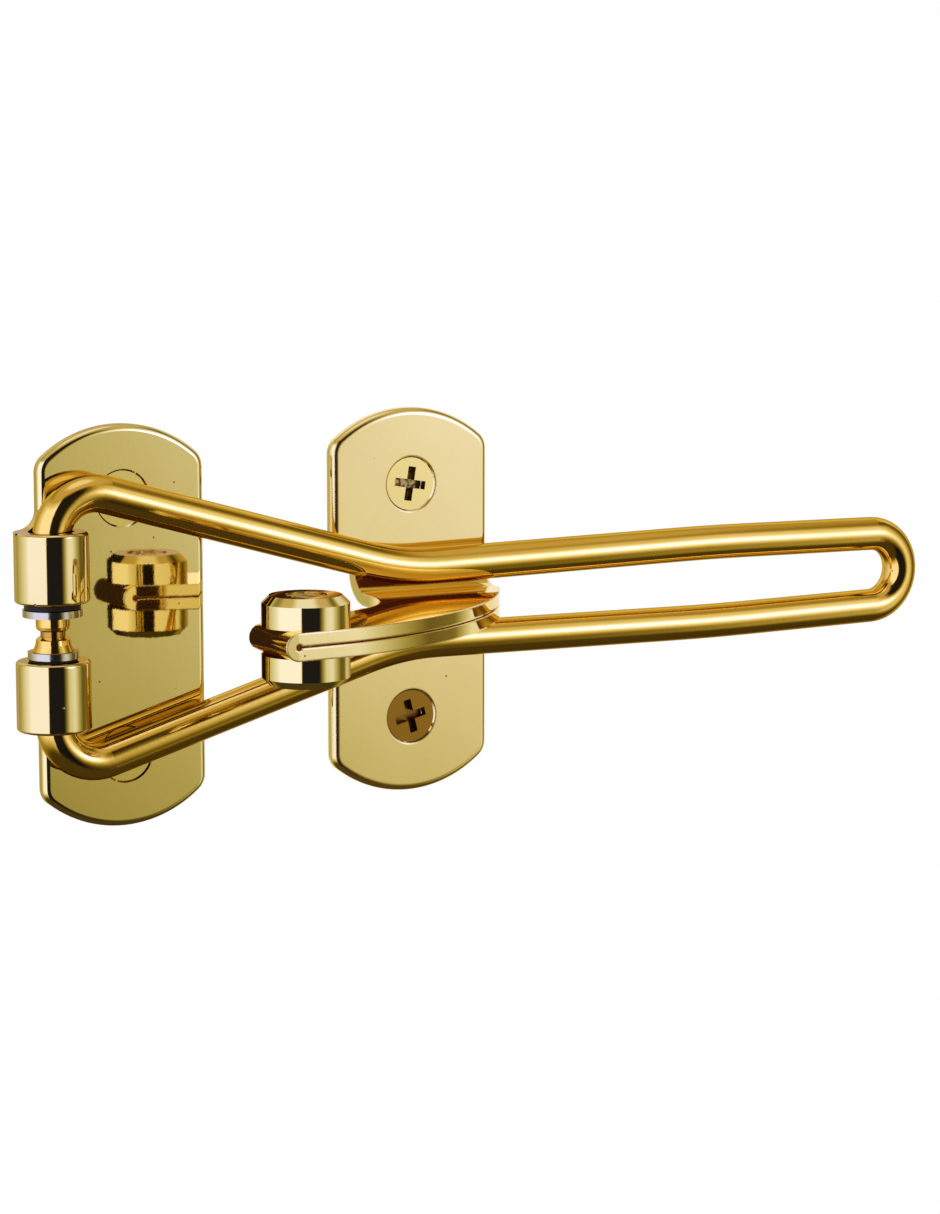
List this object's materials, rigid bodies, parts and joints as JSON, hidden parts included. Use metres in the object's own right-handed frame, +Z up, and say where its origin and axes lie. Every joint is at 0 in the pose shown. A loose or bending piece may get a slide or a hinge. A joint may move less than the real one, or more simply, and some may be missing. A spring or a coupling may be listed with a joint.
{
  "type": "door guard",
  "caption": "Swing-bar door guard: a looped rod arm pivots on a wall plate and hooks over a knobbed tongue on a second plate.",
  "frame": {"origin": "back face of the arm plate, on the line of its two screws and at the arm's mid height, 0.85 mm above the middle of the screws", "axes": "+X along the closed arm from the pivot to its loop, +Z up along the pivot axis, -Y out of the wall"},
  "size_m": [0.1872, 0.0682, 0.0708],
  "materials": {
    "gold_plate": "mirror polished gold plate",
    "gold_rod": "polished gold, slightly satin",
    "gold_knob": "turned and polished gold",
    "hammered_brass": "hammered rivet end",
    "dark_brass": "plain turned",
    "gold_screw": "plated screw",
    "washer_steel": "plain steel washer",
    "black_plastic": "black plain bearing"
  },
  "bodies": {
    "fixed_plates": {"arm_plate": "gold_plate", "upper_bush": "black_plastic", "lower_bush": "black_plastic", "arm_plate_screws": "gold_screw", "catch_strip": "gold_plate", "knob_upper_collar": "gold_knob", "knob_lower_collar": "gold_knob", "knob_rivet": "hammered_brass", "catch_plate_screws": "gold_screw"},
    "arm": {"u_arm": "gold_rod", "centre_dowel": "dark_brass", "upper_washer": "washer_steel", "lower_washer": "washer_steel"}
  },
  "joints": [
    {"name": "arm_swing", "type": "hinge", "parent": "fixed_plates", "child": "arm", "pos_m": [-0.01475, -0.00635, 0], "axis": [0, 0, -1], "range_deg": [0, 180]}
  ]
}
